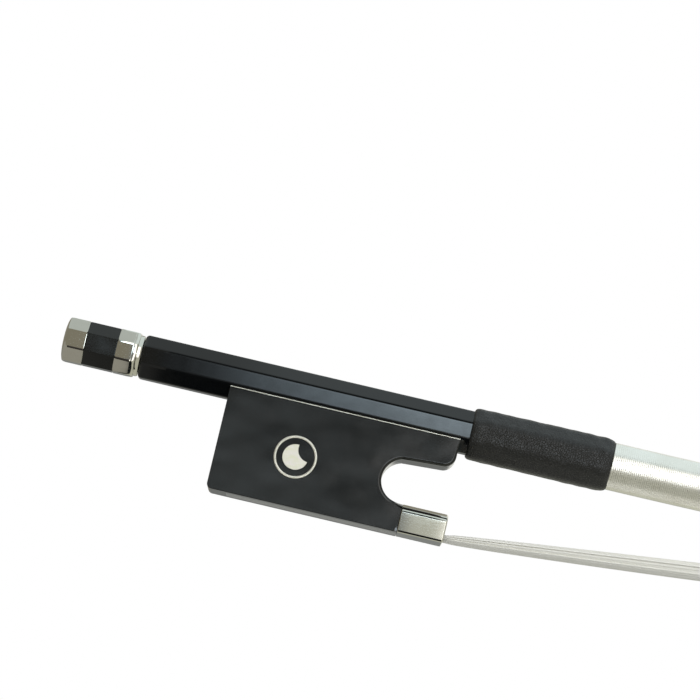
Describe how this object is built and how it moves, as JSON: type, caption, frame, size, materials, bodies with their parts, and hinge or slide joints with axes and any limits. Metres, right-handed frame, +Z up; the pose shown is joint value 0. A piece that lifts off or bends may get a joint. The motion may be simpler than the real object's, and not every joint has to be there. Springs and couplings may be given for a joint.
{
  "type": "violin bow",
  "caption": "Full-size violin bow with a carved head, a cambered stick, an open frog with moon-shaped pearl eyes, a capped adjusting screw, a leather grip, wire winding and a hair ribbon.",
  "frame": {"origin": "middle of the bow's box at its lowest point, with the bow standing upright on its hair", "axes": "+X along the hair from the button to the head, +Y across the bow to the player's far side, +Z up from the hair to the stick"},
  "size_m": [0.7408, 0.0128, 0.0399],
  "materials": {
    "stick": "gloss black lacquer over a carbon composite stick",
    "ebony": "polished ebony",
    "nickel": "polished nickel silver",
    "silver": "fine wound silver-coloured wire",
    "brass": "machined brass",
    "steel": "turned steel",
    "leather": "matte black grained leather",
    "plate": "pale bone-like plastic",
    "pearl": "polished pearl",
    "horsehair": "unbleached horsehair",
    "maple": "bare maple wedge"
  },
  "bodies": {
    "stick": {"stick": "stick", "tip_plate": "plate", "head_plug": "maple", "thumb_grip": "leather", "wire_winding": "silver"},
    "frog": {"frog_block": "ebony", "frog_lining": "nickel", "lining_screw_rear": "nickel", "lining_screw_front": "nickel", "eyelet": "brass", "pearl_slide": "pearl", "slide_backing": "ebony", "ferrule": "nickel", "ferrule_wedge": "maple", "frog_plug": "maple", "eye_ring_left": "nickel", "eye_ring_right": "nickel", "eye_pearl_left": "pearl", "eye_pearl_right": "pearl", "hair": "horsehair"},
    "screw": {"screw_shaft": "steel", "button_core": "ebony", "button_cap": "nickel", "button_ring": "nickel", "button_cap_pin": "nickel", "button_ring_pin": "nickel"}
  },
  "joints": [
    {"name": "screw_turn", "type": "hinge", "parent": "stick", "child": "screw", "pos_m": [-0.35318, 0, 0.03075], "axis": [0.9932, 0, -0.1166], "range_deg": [-480, 2400]},
    {"name": "frog_slide", "type": "slide", "parent": "stick", "child": "frog", "axis": [-0.9932, 0, 0.1166], "range_m": [-0.0012, 0.006], "deforming": ["hair"]}
  ],
  "couplings": [
    {"joint": "screw_turn", "follows": "frog_slide", "rad_per_m": 6981.3}
  ]
}
